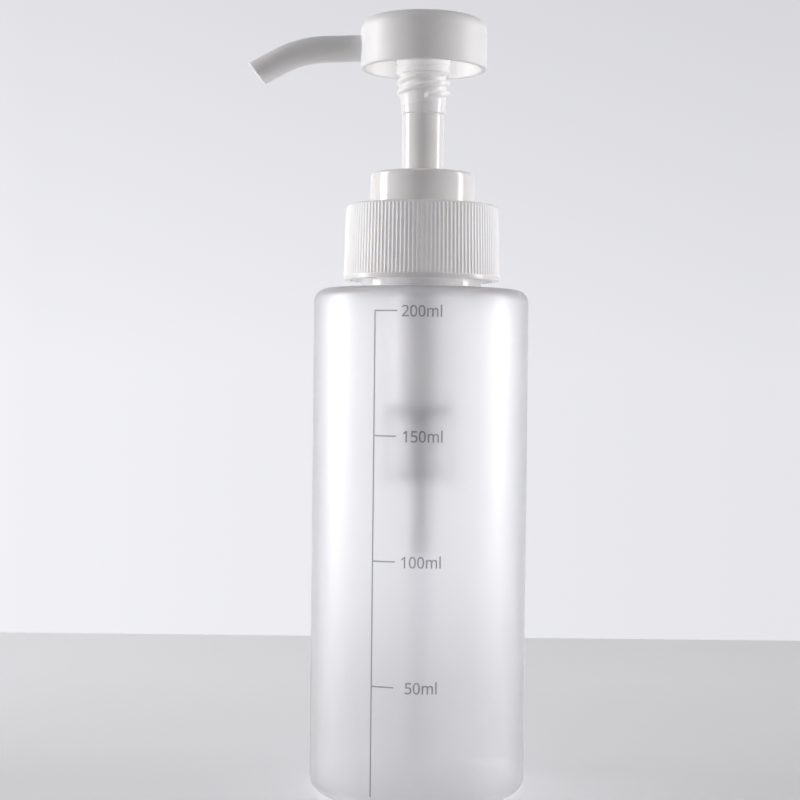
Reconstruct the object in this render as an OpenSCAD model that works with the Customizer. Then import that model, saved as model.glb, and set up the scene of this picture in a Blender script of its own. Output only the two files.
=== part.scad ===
// Refillable 200 ml massage oil bottle with a screw-on lotion pump.
// +Z is up, the origin is the middle of the foot ring that it stands on,
// and the nozzle points along -X. All sizes are in millimetres.

/* [Bottle] */
// Outside diameter of the bottle
bottle_d = 50; // [46:0.5:60]
// Height of the flat shoulder above the foot
shoulder_z = 116.1; // [105:0.1:135]
// Wall thickness of the body and shoulder
bottle_wall = 1; // [0.8:0.1:1.4]
// Thickness of the floor
floor_t = 1.2; // [0.8:0.1:2]
// Outside radius of the shoulder corner
shoulder_r = 3; // [2:0.5:4.5]
// Outside radius of the heel
heel_r = 3; // [2:0.5:4.5]
// Height of the push-up under the floor
push_up = 2; // [1:0.25:3.5]
// Width of the flat foot ring
foot_w = 5; // [3:0.5:7]

/* [Neck] */
// Bore of the neck
neck_bore_d = 21.6; // [21:0.2:24]
// Wall thickness of the neck at the root of its thread
neck_wall = 2; // [1.6:0.1:2.4]
// Height of the neck above the shoulder
neck_h = 15.5; // [13:0.5:18]
// Radius where the neck meets the shoulder
neck_root_r = 0.5; // [0.3:0.1:1]
// Height of the plain bead at the foot of the neck
bead_h = 3.2; // [2.6:0.1:4]
// Height of the neck thread, and of the bead, above the thread's root
thread_h = 1.2; // [1:0.1:1.4]

/* [Closure] */
// Wall thickness of the closure's threaded inner skirt
inner_skirt_t = 1.3; // [1:0.05:1.6]
// Gap between the closure's inner and outer skirts
skirt_gap = 0.95; // [0.6:0.05:1.4]
// Wall thickness of the closure's outer skirt at its top edge, over the ribs
closure_wall = 1.3; // [1.1:0.05:1.8]
// How much the closure's radius grows towards its lower edge
closure_flare = 0.35; // [0:0.05:0.6]
// Thickness of the closure's top plate
closure_plate = 1.5; // [1.2:0.1:2]
// Number of grip ribs
rib_count = 120; // [60:4:140]
// Height of a grip rib above the valleys
rib_h = 0.25; // [0.2:0.05:0.4]
// Height of the smooth band below the ribs
band_h = 1.1; // [0.8:0.1:4]
// Gap between the closure's lower edge and the shoulder
closure_lift = 2; // [1:0.1:2.6]
// Radial gap between the neck thread and the closure's bore
thread_gap = 0.3; // [0.2:0.05:0.5]

/* [Pump housing] */
// Thickness of the gasket on the neck's rim
gasket_t = 1; // [0.8:0.1:1.5]
// Thickness of the housing's flange
flange_t = 1.4; // [1:0.1:2]
// Outside diameter of the barrel
barrel_d = 15.2; // [14.6:0.1:16.4]
// Wall thickness of the barrel
barrel_wall = 1.1; // [0.8:0.1:1.3]
// Length of the barrel below the flange
barrel_l = 44.6; // [43:0.1:52]
// Outside diameter of the valve core below the barrel
core_d = 10; // [9.6:0.1:11.5]
// Wall thickness of the valve core
core_wall = 1.2; // [1:0.1:1.3]
// Length of the valve core
core_l = 17; // [16:0.5:20]
// Length of the tail that grips the dip tube
tail_l = 16.4; // [10:0.2:20]
// Wall thickness of the tail
tail_wall = 0.9; // [0.7:0.1:1.2]
// Diameter of the air vent in the barrel
vent_d = 1.2; // [0.8:0.1:1.6]
// Height of the snap ring above the flange
snap_ring_h = 2.2; // [1.8:0.1:2.6]
// Thickness of the snap ring beyond the barrel
snap_ring_t = 1.25; // [1:0.05:1.5]

/* [Valve cup] */
// Outside diameter of the clear cup round the valve core
cup_d = 16.6; // [15:0.1:18]
// Height of the clear cup with its lid
cup_h = 16.6; // [14:0.1:17]
// Wall thickness of the clear cup
cup_wall = 0.9; // [0.7:0.1:1.2]

/* [Collar] */
// How far the collar's skirt laps over the closure
collar_lap = 1.6; // [1.3:0.1:2.4]
// Height of the collar above the closure
collar_h = 7.6; // [7:0.1:10]
// Thickness of the collar's walls
collar_wall = 1.1; // [0.9:0.1:1.2]
// Radius of the collar's top edge
collar_edge_r = 0.9; // [0.3:0.1:1]
// Depth of the socket that takes the head's lock thread
socket_depth = 5.7; // [5:0.1:6]
// Length of the stem guide below the flange's top
guide_drop = 5; // [4:0.5:6]

/* [Stem and piston] */
// Outside diameter of the stem
stem_d = 9.8; // [9:0.1:10]
// Bore of the stem
stem_bore_d = 4.4; // [4:0.1:4.6]
// Diameter of the stem's spigots in the head and the piston
spigot_d = 7.2; // [7:0.1:7.6]
// Travel of the head
stroke = 15.5; // [12:0.5:16]
// Height of the piston
piston_h = 6.5; // [5:0.5:8]
// Thickness of the spring's seat on the stem foot
foot_flange_t = 2.5; // [1.5:0.5:3]

/* [Valves and spring] */
// Diameter of the inlet ball
inlet_ball_d = 5; // [4.6:0.1:5.6]
// Diameter of the outlet ball
outlet_ball_d = 4; // [3.6:0.1:4.4]
// Lift of each ball off its seat
ball_lift = 1.3; // [0.8:0.1:1.6]
// Diameter of the spring's wire
wire_d = 0.9; // [0.7:0.05:1]
// Outside diameter of the spring
spring_d = 9.4; // [9:0.1:9.8]
// Number of turns of the spring
spring_turns = 9; // [7:1:10]
// Outside diameter of the dip tube
dip_tube_d = 4.9; // [4.4:0.1:5.2]
// Wall thickness of the dip tube
dip_tube_wall = 0.6; // [0.5:0.05:0.8]
// Gap between the dip tube and the floor
dip_tube_gap = 2.5; // [1.5:0.5:6]

/* [Head] */
// Diameter of the head
head_d = 29.5; // [26:0.5:36]
// Height of the head
head_h = 11.7; // [11.5:0.1:14]
// Wall thickness of the head's skirt
head_wall = 1.3; // [1:0.1:1.8]
// Thickness of the head's top plate
head_top_t = 1.6; // [1.2:0.1:2]
// Radius of the head's top edge
head_edge_r = 3; // [2:0.1:3.5]
// Diameter of the boss inside the head
boss_d = 12.6; // [12:0.1:14]
// How far the boss stands below the head's rim
boss_drop = 1.3; // [0.5:0.1:2.5]
// Diameter of the lock thread over its crests
lock_thread_d = 12.4; // [12:0.1:12.4]
// Height of the lock thread above its root
lock_thread_h = 0.95; // [0.6:0.05:1]
// Length of the lock thread
lock_thread_l = 6.8; // [5:0.1:8]
// Diameter of the sleeve below the lock thread
sleeve_d = 10.3; // [10.1:0.1:10.6]
// Length of the sleeve below the lock thread
sleeve_l = 2.5; // [1.5:0.1:3]

/* [Nozzle] */
// Outside diameter of the nozzle
nozzle_d = 6.2; // [5.5:0.1:7]
// Bore of the nozzle
nozzle_bore_d = 3.6; // [3:0.1:4]
// Height of the nozzle's axis above the head's rim
nozzle_rise = 5.35; // [4.6:0.05:6]
// Straight length from the head's axis to the bend
nozzle_run = 22.9; // [22:0.1:24]
// Fall of the straight length, in degrees
nozzle_fall = 2; // [0:0.5:4]
// Radius of the bend
bend_r = 24; // [20:0.5:26]
// Angle of the bend, in degrees
bend_angle = 26.5; // [24:0.5:29]
// Straight length beyond the bend
tip_l = 6.3; // [5.5:0.1:7.5]
// Slant of the cut at the tip, in degrees
tip_slant = 10.5; // [8:0.5:13]

/* [Hidden] */
$fn = 96;

seat_gap = 0.1;      // between flat faces of pieces that turn on each other
run_gap = 0.09;      // radial, round the stem and the piston
press_gap = 0.05;    // radial, where one piece is pressed into another
eps = 0.01;          // overcut
arc_steps = 12;

bottle_r = bottle_d / 2;
neck_bore_r = neck_bore_d / 2;
neck_r = neck_bore_r + neck_wall;
bead_r = neck_r + thread_h;
rim_z = shoulder_z + neck_h;
flange_z = rim_z + gasket_t;
flange_top_z = flange_z + flange_t;
plate_z = flange_top_z + seat_gap;
closure_top_z = plate_z + closure_plate;
closure_z = shoulder_z + closure_lift;
collar_z = closure_top_z + seat_gap;
collar_top_z = closure_top_z + collar_h;

flange_r = neck_r + 0.9;
gasket_r = neck_bore_r - 1.6;
closure_bore_r = neck_r + thread_h + thread_gap;
closure_in_r = closure_bore_r + inner_skirt_t + skirt_gap;
closure_top_r = closure_in_r + closure_wall;
closure_low_r = closure_top_r + closure_flare;

barrel_r = barrel_d / 2;
barrel_bore_r = barrel_r - barrel_wall;
barrel_z = flange_z - barrel_l;
barrel_floor_z = barrel_z + 1.2;
core_r = core_d / 2;
core_bore_r = core_r - core_wall;
core_z = barrel_z - core_l;
tail_bore_r = dip_tube_d / 2 + press_gap;
tail_r = tail_bore_r + tail_wall;
tail_z = core_z - tail_l;
snap_ring_r = barrel_r + snap_ring_t;
snap_bead_h = 0.3;

snap_skirt_r = snap_ring_r + press_gap;
snap_skirt_out_r = snap_skirt_r + collar_wall + snap_bead_h;
plate_hole_r = snap_skirt_out_r + 0.25;
collar_r = plate_hole_r + collar_lap;
socket_r = lock_thread_d / 2 + 0.3;
socket_z = collar_top_z - socket_depth;
socket_floor_t = 1.2;
guide_z = flange_top_z - guide_drop;
guide_bore_r = stem_d / 2 + run_gap;
guide_r = barrel_bore_r - 2 * press_gap;

piston_top_z = guide_z - 0.3;
piston_z = piston_top_z - piston_h;
stem_z = piston_z - 0.2;
foot_z = stem_z - foot_flange_t;

lock_gap = 0.7;      // left between the thread and the collar at full stroke
lock_thread_z = collar_top_z + stroke + lock_gap;
sleeve_z = lock_thread_z - sleeve_l;
boss_z = lock_thread_z + lock_thread_l;
rim_head_z = boss_z + boss_drop;
head_top_z = rim_head_z + head_h;
nozzle_z = rim_head_z + nozzle_rise;

// A ball of radius r on a 45 degree cone whose small end has radius s
function ball_rise(r, s) = r * sqrt(2) - s;
inlet_hole_r = 1.6;
inlet_seat_z = core_z + 2.3;
inlet_ball_z = inlet_seat_z + ball_rise(inlet_ball_d / 2, inlet_hole_r) + seat_gap;
outlet_hole_r = 1.3;
outlet_seat_z = lock_thread_z + 2.7;
outlet_ball_z = outlet_seat_z + ball_rise(outlet_ball_d / 2, outlet_hole_r) + seat_gap;
outlet_cage_r = 2.6;
spigot_r = spigot_d / 2;
spigot_top_z = nozzle_z - nozzle_bore_d / 2 - 1;

cage_flange_t = 1;
cage_z = inlet_ball_z + inlet_ball_d / 2 + ball_lift;
spring_z = barrel_floor_z + cage_flange_t;
spring_top_z = foot_z - seat_gap;

// Points of an arc about c, from angle a to angle b
function arc(c, r, a, b, n = arc_steps) =
    [for (i = [0 : n]) let (t = a + (b - a) * i / n) c + r * [cos(t), sin(t)]];

// Radius of a shallow dome that rises by h over a half chord c
function dome_r(c, h) = (c * c + h * h) / (2 * h);

// ---- bottle ----

module bottle_outline() {
    foot_in = bottle_r - heel_r - foot_w;
    dome = dome_r(foot_in, push_up);
    polygon(concat(
        arc([0, push_up - dome], dome, 90, 90 - asin(foot_in / dome)),
        arc([bottle_r - heel_r, heel_r], heel_r, -90, 0),
        arc([bottle_r - shoulder_r, shoulder_z - shoulder_r], shoulder_r, 0, 90),
        arc([bead_r + neck_root_r, shoulder_z + neck_root_r], neck_root_r, 270, 180, 6),
        [[bead_r, shoulder_z + bead_h - 0.5], [bead_r - 0.5, shoulder_z + bead_h],
         [neck_r, shoulder_z + bead_h], [neck_r, rim_z - 0.5], [neck_r - 0.5, rim_z], [0, rim_z]]));
}

module bottle_inside() {
    foot_in = bottle_r - heel_r - foot_w;
    dome = dome_r(foot_in, push_up);
    heel_in = heel_r - bottle_wall;
    polygon(concat(
        arc([0, push_up - dome], dome + floor_t, 90, 90 - asin(foot_in / (dome + floor_t))),
        arc([bottle_r - heel_r, floor_t + heel_in], heel_in, -90, 0),
        arc([bottle_r - shoulder_r, shoulder_z - shoulder_r], shoulder_r - bottle_wall, 0, 90),
        [[neck_bore_r, shoulder_z - bottle_wall], [neck_bore_r, rim_z + 1], [0, rim_z + 1]]));
}

module bottle() {
    color([0.86, 0.87, 0.9, 0.5])
    difference() {
        rotate_extrude() bottle_outline();
        rotate_extrude() bottle_inside();
    }
}

// ---- closure ----

module closure_rib() {
    low = closure_z + band_h;
    high = closure_top_z - 0.8;
    slope = atan(closure_flare / (closure_top_z - closure_z));
    foot_r = closure_low_r - rib_h - tan(slope) * band_h;
    pitch = 2 * PI * closure_top_r / rib_count;
    translate([foot_r, 0, low])
        rotate([0, -slope, 0])
            linear_extrude((high - low) / cos(slope))
                polygon([[-0.3, -0.32 * pitch], [0, -0.32 * pitch], [rib_h, -0.14 * pitch],
                         [rib_h, 0.14 * pitch], [0, 0.32 * pitch], [-0.3, 0.32 * pitch]]);
}

module closure() {
    valley_top_r = closure_top_r - rib_h;
    skirt_out_r = closure_bore_r + inner_skirt_t;
    band_r = closure_low_r - closure_flare * band_h / (closure_top_z - closure_z);
    edge = 0.6;
    color([0.93, 0.94, 0.95]) {
        rotate_extrude() polygon(concat(
            [[closure_in_r, closure_z], [closure_low_r - 0.25, closure_z],
             [closure_low_r, closure_z + 0.25], [band_r, closure_z + band_h],
             [band_r - rib_h, closure_z + band_h + 0.2]],
            arc([valley_top_r - edge, closure_top_z - edge], edge, 0, 90, 6),
            [[plate_hole_r, closure_top_z], [plate_hole_r, plate_z], [closure_bore_r, plate_z],
             [closure_bore_r, closure_z + 0.4], [skirt_out_r, closure_z + 0.4],
             [skirt_out_r, plate_z], [closure_in_r, plate_z]]));
        for (i = [0 : rib_count - 1]) rotate(i * 360 / rib_count) closure_rib();
    }
}

module gasket() {
    color([0.97, 0.97, 0.95])
    translate([0, 0, rim_z])
    difference() {
        cylinder(r = flange_r, h = gasket_t);
        translate([0, 0, -1]) cylinder(r = gasket_r, h = gasket_t + 2);
    }
}

// ---- pump housing ----

module housing_outline() {
    bead_z = flange_top_z + snap_ring_h / 2;
    polygon([
        [0, tail_z], [tail_r, tail_z], [tail_r, core_z], [core_r, core_z + 3.2],
        [core_r, barrel_z], [barrel_r - 0.6, barrel_z], [barrel_r, barrel_z + 0.6],
        [barrel_r, flange_z], [flange_r, flange_z], [flange_r, flange_top_z],
        [snap_ring_r, flange_top_z], [snap_ring_r, bead_z - 0.4],
        [snap_ring_r + snap_bead_h, bead_z], [snap_ring_r, bead_z + 0.4],
        [snap_ring_r, flange_top_z + snap_ring_h], [0, flange_top_z + snap_ring_h]]);
}

module housing_inside() {
    seat_top_z = inlet_seat_z + core_bore_r - inlet_hole_r;
    polygon([
        [0, tail_z - 1], [tail_bore_r, tail_z - 1], [tail_bore_r, core_z + 1],
        [inlet_hole_r, core_z + 1], [inlet_hole_r, inlet_seat_z],
        [core_bore_r, seat_top_z], [core_bore_r, barrel_floor_z],
        [barrel_bore_r, barrel_floor_z], [barrel_bore_r, flange_top_z + snap_ring_h + 1],
        [0, flange_top_z + snap_ring_h + 1]]);
}

module housing() {
    color([0.9, 0.91, 0.93, 0.8])
    difference() {
        rotate_extrude() housing_outline();
        rotate_extrude() housing_inside();
        translate([0, 0, piston_z + piston_h / 2])
            rotate([0, 90, 0]) cylinder(d = vent_d, h = barrel_d);
    }
}

module valve_cup() {
    low = barrel_z - seat_gap - cup_h;
    wall_h = cup_h - cup_wall;
    color([0.9, 0.92, 0.95, 0.35])
    translate([0, 0, low])
    difference() {
        cylinder(d = cup_d, h = wall_h);
        translate([0, 0, cup_wall]) cylinder(d = cup_d - 2 * cup_wall, h = wall_h);
        translate([0, 0, -1]) cylinder(r = core_r + press_gap, h = cup_wall + 2);
    }
}

module valve_cup_lid() {
    color([0.9, 0.92, 0.95, 0.35])
    translate([0, 0, barrel_z - seat_gap - cup_wall])
    difference() {
        union() {
            cylinder(d = cup_d, h = cup_wall);
            translate([0, 0, -cup_wall])
                cylinder(r = cup_d / 2 - cup_wall - press_gap, h = cup_wall + eps);
        }
        translate([0, 0, -cup_wall - 1]) cylinder(r = core_r + press_gap, h = 2 * cup_wall + 2);
    }
}

module ball_cage() {
    cage_r = core_bore_r - press_gap;
    way_r = inlet_ball_d / 2 - 0.4;
    color([0.93, 0.94, 0.95])
    difference() {
        union() {
            translate([0, 0, barrel_floor_z])
                cylinder(r = barrel_bore_r - press_gap, h = cage_flange_t);
            translate([0, 0, cage_z]) cylinder(r = cage_r, h = barrel_floor_z - cage_z + eps);
        }
        translate([0, 0, cage_z - 1]) cylinder(r = way_r, h = barrel_floor_z - cage_z + 4);
        for (a = [0, 90])
            rotate(a) translate([-cage_r - 1, -0.8, cage_z - 1])
                cube([2 * cage_r + 2, 1.6, 4]);
    }
}

module inlet_ball() {
    color([0.82, 0.84, 0.87]) translate([0, 0, inlet_ball_z]) sphere(d = inlet_ball_d);
}

module dip_tube() {
    low = push_up + floor_t + dip_tube_gap;
    high = core_z + 1 - press_gap;
    color([0.92, 0.93, 0.95, 0.3])
    translate([0, 0, low])
    difference() {
        cylinder(d = dip_tube_d, h = high - low);
        translate([0, 0, -1]) cylinder(d = dip_tube_d - 2 * dip_tube_wall, h = high - low + 2);
        rotate([0, 30, 0]) translate([-dip_tube_d, -dip_tube_d, -2 * dip_tube_d])
            cube(2 * dip_tube_d);
    }
}

// ---- spring ----

// Share of the height climbed after a share t of the turns, flat at both ends
function climb(t) = let (e = 1 / spring_turns) t < e ? 0 : t > 1 - e ? 1 : (t - e) / (1 - 2 * e);

module spring() {
    sides = 8;
    steps = 20 * spring_turns;
    coil_r = (spring_d - wire_d) / 2;
    low = spring_z + wire_d / 2 + wire_d;
    rise = spring_top_z - spring_z - 3 * wire_d;
    close_up = wire_d * 1.02;
    function height(t) = low + rise * climb(t)
        - close_up * (1 - min(1, t * spring_turns))
        + close_up * (1 - min(1, (1 - t) * spring_turns));
    points = [for (i = [0 : steps], j = [0 : sides - 1])
        let (t = i / steps, a = 360 * spring_turns * t, b = 360 * j / sides,
             r = coil_r + wire_d / 2 * cos(b))
        [r * cos(a), r * sin(a), height(t) + wire_d / 2 * sin(b)]];
    walls = [for (i = [0 : steps - 1], j = [0 : sides - 1])
        let (k = (j + 1) % sides)
        [i * sides + j, i * sides + k, (i + 1) * sides + k, (i + 1) * sides + j]];
    ends = [[for (j = [sides - 1 : -1 : 0]) j], [for (j = [0 : sides - 1]) steps * sides + j]];
    color([0.6, 0.61, 0.63]) polyhedron(points, concat(walls, ends), convexity = 8);
}

// ---- collar ----

module collar() {
    top_z = collar_top_z - 1.5;
    bead_z = flange_top_z + snap_ring_h / 2;
    skirt_in_r = collar_r - collar_wall;
    socket_out_r = socket_r + collar_wall;
    color([0.95, 0.95, 0.96])
    rotate_extrude() polygon(concat(
        [[collar_r, collar_z]],
        arc([collar_r - collar_edge_r, collar_top_z - collar_edge_r], collar_edge_r, 0, 90),
        [[socket_r + 0.4, collar_top_z], [socket_r, collar_top_z - 0.4],
         [socket_r, socket_z], [guide_bore_r, socket_z],
         [guide_bore_r, guide_z], [guide_r, guide_z],
         [guide_r, socket_z - socket_floor_t],
         [socket_out_r, socket_z - socket_floor_t], [socket_out_r, top_z],
         [snap_skirt_r, top_z], [snap_skirt_r, bead_z + 0.5],
         [snap_skirt_r + snap_bead_h, bead_z], [snap_skirt_r, bead_z - 0.5],
         [snap_skirt_r, flange_top_z], [snap_skirt_out_r, flange_top_z],
         [snap_skirt_out_r, top_z], [skirt_in_r, top_z], [skirt_in_r, collar_z]]));
}

// ---- stem, piston and foot ----

module piston() {
    lip_r = barrel_bore_r - run_gap;
    waist_r = lip_r - 0.7;
    bore_r = spigot_r + run_gap;
    lip_h = 1.4;
    color([0.93, 0.94, 0.95])
    rotate_extrude() polygon([
        [bore_r, piston_z + 1], [waist_r - 0.7, piston_z + 1.4], [lip_r - 0.5, piston_z],
        [lip_r, piston_z], [lip_r, piston_z + lip_h], [waist_r, piston_z + lip_h + 0.6],
        [waist_r, piston_top_z - lip_h - 0.6], [lip_r, piston_top_z - lip_h],
        [lip_r, piston_top_z], [lip_r - 0.5, piston_top_z],
        [waist_r - 0.7, piston_top_z - 1.4], [bore_r, piston_top_z - 1]]);
}

module stem() {
    shoulder_low_z = piston_top_z - 1 + seat_gap;
    shoulder_high_z = sleeve_z - press_gap;
    bore_r = stem_bore_d / 2;
    waist_r = spigot_r + 0.35;    // stays inside the piston's cup
    neck_z = outlet_seat_z - 1.2;
    color([0.95, 0.95, 0.96])
    rotate_extrude() polygon([
        [bore_r, stem_z], [spigot_r, stem_z], [spigot_r, shoulder_low_z],
        [waist_r, shoulder_low_z], [stem_d / 2, shoulder_low_z + 1.2],
        [stem_d / 2, shoulder_high_z], [spigot_r, shoulder_high_z],
        [spigot_r, spigot_top_z], [outlet_cage_r, spigot_top_z],
        [outlet_cage_r, outlet_seat_z + outlet_cage_r - outlet_hole_r],
        [outlet_hole_r, outlet_seat_z], [outlet_hole_r, neck_z], [bore_r, neck_z]]);
}

module stem_foot() {
    plug_r = stem_bore_d / 2 - press_gap;
    color([0.93, 0.94, 0.95])
    rotate_extrude() polygon([
        [1.4, foot_z], [spring_d / 2, foot_z], [spring_d / 2, foot_z + foot_flange_t / 2],
        [spigot_r, foot_z + foot_flange_t - press_gap], [plug_r, foot_z + foot_flange_t - press_gap],
        [plug_r, foot_z + foot_flange_t + 4], [1.4, foot_z + foot_flange_t + 4]]);
}

module outlet_ball() {
    color([0.82, 0.84, 0.87]) translate([0, 0, outlet_ball_z]) sphere(d = outlet_ball_d);
}

// ---- head ----

// The nozzle's path as a round bar of radius r. The straight lengths are a hair
// thinner than the bend and run a little way into it, so the three join as one.
module nozzle_bar(r, over = 0) {
    step = 0.03;
    lap = 0.4;
    rotate([0, 0, 180]) translate([0, 0, nozzle_z]) rotate([0, nozzle_fall, 0]) {
        rotate([0, 90, 0]) cylinder(r = r - step, h = nozzle_run + lap);
        translate([nozzle_run, 0, -bend_r]) {
            rotate([90, 0, 0]) rotate([0, 0, 90 - bend_angle])
                rotate_extrude(angle = bend_angle) translate([bend_r, 0]) circle(r = r);
            rotate([0, bend_angle, 0]) translate([-lap, 0, bend_r])
                rotate([0, 90, 0]) cylinder(r = r - step, h = lap + tip_l + nozzle_d + over);
        }
    }
}

// Everything beyond the slanted cut at the nozzle's tip
module tip_cut() {
    size = 4 * nozzle_d;
    rotate([0, 0, 180]) translate([0, 0, nozzle_z]) rotate([0, nozzle_fall, 0])
        translate([nozzle_run, 0, -bend_r]) rotate([0, bend_angle, 0])
            translate([tip_l, 0, bend_r]) rotate([0, tip_slant, 0])
                translate([0, -size / 2, -size / 2]) cube(size);
}

module head_shell() {
    r = head_d / 2;
    difference() {
        rotate_extrude() polygon(concat(
            [[0, rim_head_z], [r, rim_head_z]],
            arc([r - head_edge_r, head_top_z - head_edge_r], head_edge_r, 0, 90),
            [[0, head_top_z]]));
        rotate_extrude() polygon(concat(
            [[0, rim_head_z - 1], [r - head_wall, rim_head_z - 1]],
            arc([r - head_wall - 1, head_top_z - head_top_t - 1], 1, 0, 90, 6),
            [[0, head_top_z - head_top_t]]));
    }
}

module head_boss() {
    root_r = lock_thread_d / 2 - lock_thread_h;
    sleeve_r = sleeve_d / 2;
    rotate_extrude() polygon([
        [0, sleeve_z], [sleeve_r - 0.3, sleeve_z], [sleeve_r, sleeve_z + 0.3],
        [sleeve_r, lock_thread_z - 0.4], [root_r, lock_thread_z], [root_r, boss_z],
        [boss_d / 2 - 0.3, boss_z], [boss_d / 2, boss_z + 0.3],
        [boss_d / 2, head_top_z - head_top_t + eps], [0, head_top_z - head_top_t + eps]]);
}

module head() {
    pin_r = 0.7;
    pin_low_z = outlet_ball_z + outlet_ball_d / 2 + ball_lift;
    color([0.94, 0.95, 0.96]) {
        difference() {
            union() {
                head_shell();
                head_boss();
                nozzle_bar(nozzle_d / 2);
            }
            translate([0, 0, sleeve_z - 1])
                cylinder(r = spigot_r + press_gap, h = spigot_top_z + press_gap - sleeve_z + 1);
            translate([0, 0, spigot_top_z]) cylinder(d = nozzle_bore_d, h = nozzle_z - spigot_top_z);
            nozzle_bar(nozzle_bore_d / 2, 1);
            tip_cut();
        }
        translate([0, 0, pin_low_z]) cylinder(r = pin_r, h = nozzle_z + nozzle_bore_d / 2 - pin_low_z + 1);
    }
}

bottle();
closure();
gasket();
collar();
housing();
valve_cup();
valve_cup_lid();
ball_cage();
inlet_ball();
spring();
dip_tube();
piston();
stem();
stem_foot();
outlet_ball();
head();
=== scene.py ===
import math
import bmesh
import bpy
import numpy as np
from mathutils import Matrix


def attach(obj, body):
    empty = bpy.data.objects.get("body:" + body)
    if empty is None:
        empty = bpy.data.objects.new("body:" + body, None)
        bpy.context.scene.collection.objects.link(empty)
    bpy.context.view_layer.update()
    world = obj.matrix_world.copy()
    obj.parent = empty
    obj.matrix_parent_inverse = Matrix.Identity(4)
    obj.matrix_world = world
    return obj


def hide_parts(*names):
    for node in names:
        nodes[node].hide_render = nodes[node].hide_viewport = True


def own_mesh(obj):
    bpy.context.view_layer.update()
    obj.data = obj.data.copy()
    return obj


# Dresses the pump oil bottle: frosted shell with its printed scale, ribbed closure,
# collar, stem and head. Sizes are in millimetres and become metres in makePiece.

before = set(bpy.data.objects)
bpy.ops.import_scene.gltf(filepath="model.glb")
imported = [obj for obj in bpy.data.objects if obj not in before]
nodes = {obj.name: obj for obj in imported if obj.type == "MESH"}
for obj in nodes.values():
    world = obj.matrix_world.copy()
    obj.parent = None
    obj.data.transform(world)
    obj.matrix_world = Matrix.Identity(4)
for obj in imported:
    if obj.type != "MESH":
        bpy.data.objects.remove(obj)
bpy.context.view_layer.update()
mm = 0.001
mergeWithin = 2e-8  # metres
print("frame loaded,", len(nodes), "nodes")


# ---- outlines and grids ----

# Vectors over their lengths
def unit(v):
    return v / np.maximum(np.linalg.norm(v, axis=-1, keepdims=True), 1e-12)


# Outline of radius and height with rounded corners. A corner with radius q and half
# angle h is cut back by q / tan(h) and filled by an arc whose centre lies q / sin(h)
# along the corner's middle line.
def roundCorners(corners, steps=6):
    c = np.array([tuple(row) + (0,) * (3 - len(row)) for row in corners], float)
    p, q = c[:, :2], c[:, 2]
    a = unit(np.vstack([2 * p[0] - p[1], p[:-1]]) - p)
    b = unit(np.vstack([p[1:], 2 * p[-1] - p[-2]]) - p)
    half = np.clip(np.arccos(np.clip((a * b).sum(1), -1, 1)) / 2, 1e-4, None)
    cut = (q / np.tan(half))[:, None]
    centre = p + unit(a + b) * (q / np.sin(half))[:, None]
    turn = np.maximum(np.pi - 2 * half, 1e-6)[:, None]
    s = np.linspace(0, 1, steps + 1)[None]
    near = np.sin((1 - s) * turn) / np.sin(turn)
    far = np.sin(s * turn) / np.sin(turn)
    arcs = (centre[:, None] + near[..., None] * (p + a * cut - centre)[:, None]
            + far[..., None] * (p + b * cut - centre)[:, None])
    arcs = np.where((q > 0)[:, None, None], arcs, p[:, None])
    points = arcs.reshape(-1, 2)
    step = np.linalg.norm(np.diff(points, axis=0), axis=1)
    return points[np.r_[True, step > 1e-6]]


# Puts a row just inside both ends of every long straight stretch, so that its shading
# stays flat, and rows at an even spacing between the heights in dense.
def addRows(points, tip=0.06, dense=None, spacing=0.12):
    step = np.diff(points, axis=0)
    length = np.linalg.norm(step, axis=1, keepdims=True)
    long = length[:, 0] > 4 * tip
    near = points[:-1] + step / np.maximum(length, 1e-9) * tip
    far = points[1:] - step / np.maximum(length, 1e-9) * tip
    rows = np.stack([points[:-1], near, far], 1)
    keep = np.stack([np.ones(len(long), bool), long, long], 1)
    points = np.vstack([rows.reshape(-1, 2)[keep.ravel()], points[-1:]])
    for low, high, radius in dense or ():
        z, r = points[:, 1], points[:, 0]
        on = (np.abs(r[:-1] - radius) < 0.02) & (np.abs(r[1:] - radius) < 0.02)
        on &= (np.minimum(z[:-1], z[1:]) <= low + 0.1) & (np.maximum(z[:-1], z[1:]) >= high - 0.1)
        i = int(np.flatnonzero(on)[0])
        count = int((high - low) / spacing) + 1
        t = np.linspace(low, high, count)
        if z[i + 1] < z[i]:
            t = t[::-1]
        added = np.stack([np.full(count, radius), t], 1)
        points = np.vstack([points[:i + 1], added, points[i + 1:]])
        step = np.linalg.norm(np.diff(points, axis=0), axis=1)
        points = points[np.r_[True, step > 1e-6]]
    return points


# Turns an outline about the upright axis: x = r cos(a), y = r sin(a). reshape may
# change the radius of each grid point from its radius, height and angle.
def spin(outline, columns, reshape=None):
    angle = np.arange(columns)[None] * 2 * np.pi / columns
    r = np.repeat(outline[:, :1], columns, 1)
    z = np.repeat(outline[:, 1:], columns, 1)
    angle = np.repeat(angle, len(outline), 0)
    if reshape is not None:
        r = reshape(r, z, angle)
    return np.stack([r * np.cos(angle), r * np.sin(angle), z], -1)


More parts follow.
